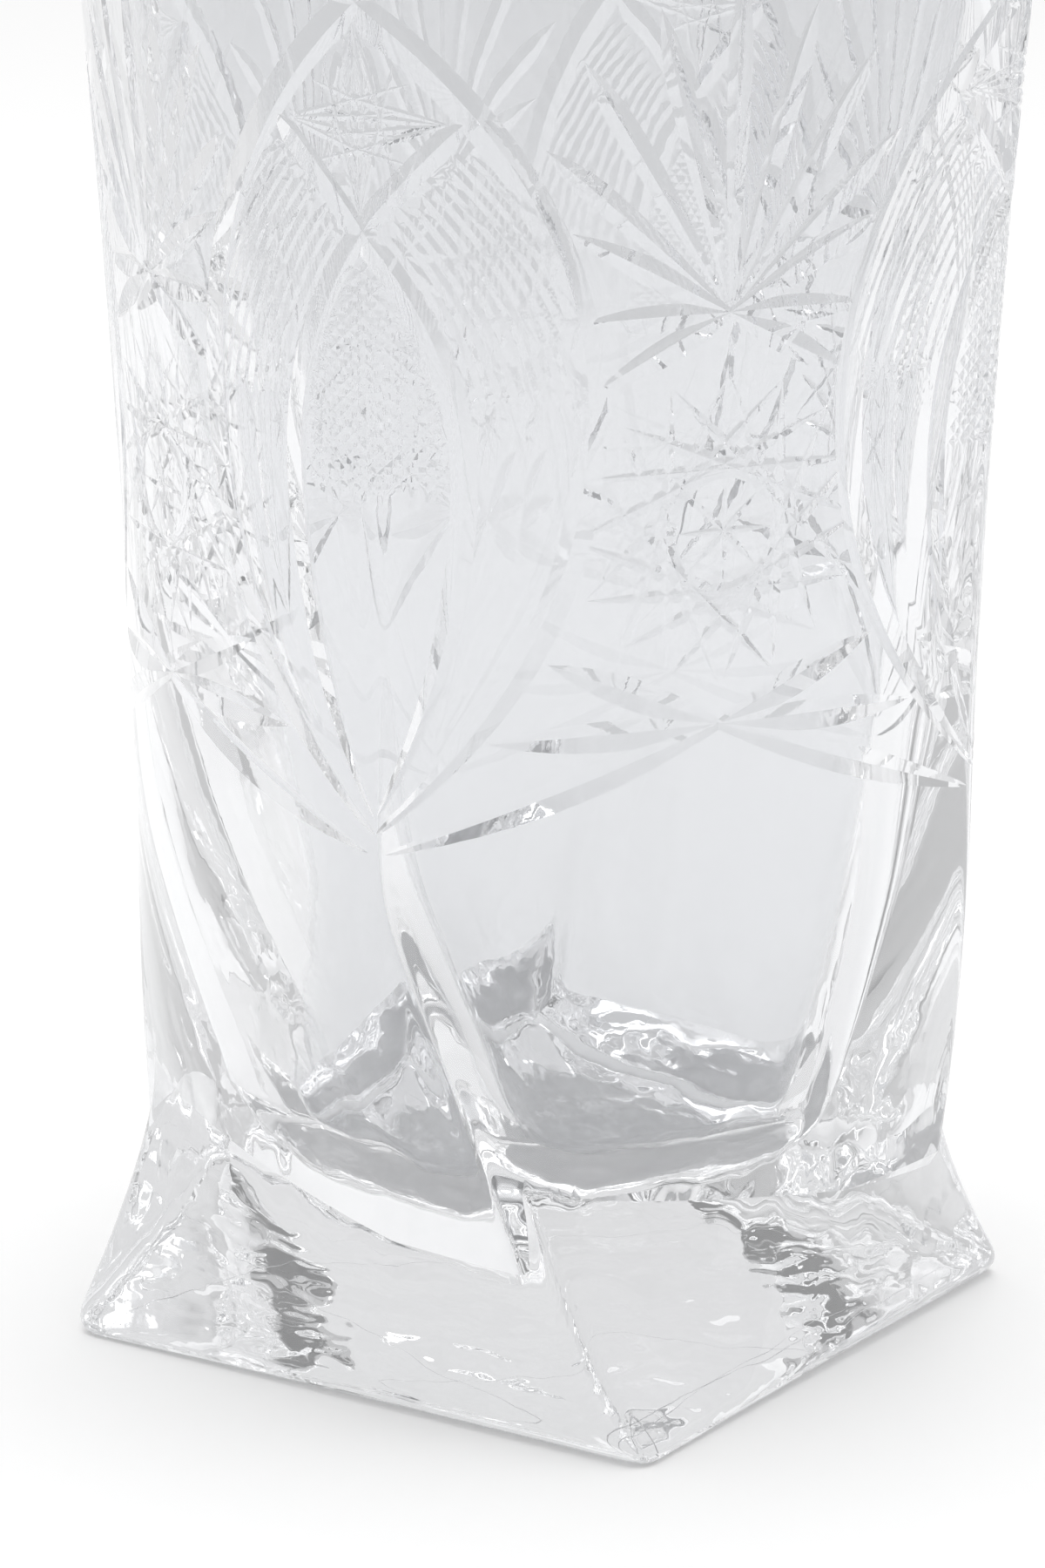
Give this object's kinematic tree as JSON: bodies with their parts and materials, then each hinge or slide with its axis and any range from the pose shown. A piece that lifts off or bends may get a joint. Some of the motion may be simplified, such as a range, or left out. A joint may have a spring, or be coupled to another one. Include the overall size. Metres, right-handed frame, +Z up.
{
  "type": "cut crystal vase",
  "caption": "Tall square clear crystal vase with a heavy flared foot, a turned lower body, arched sides and an open top.",
  "frame": {"origin": "centre of the flat underside, on the surface that the vase stands on", "axes": "+Z up along the vase's axis; the square foot's sides face along X and Y"},
  "size_m": [0.1672, 0.1672, 0.255],
  "materials": {
    "crystal": "clear, polished, wheel-cut"
  },
  "bodies": {
    "root": {"vase": "crystal"}
  },
  "joints": []
}
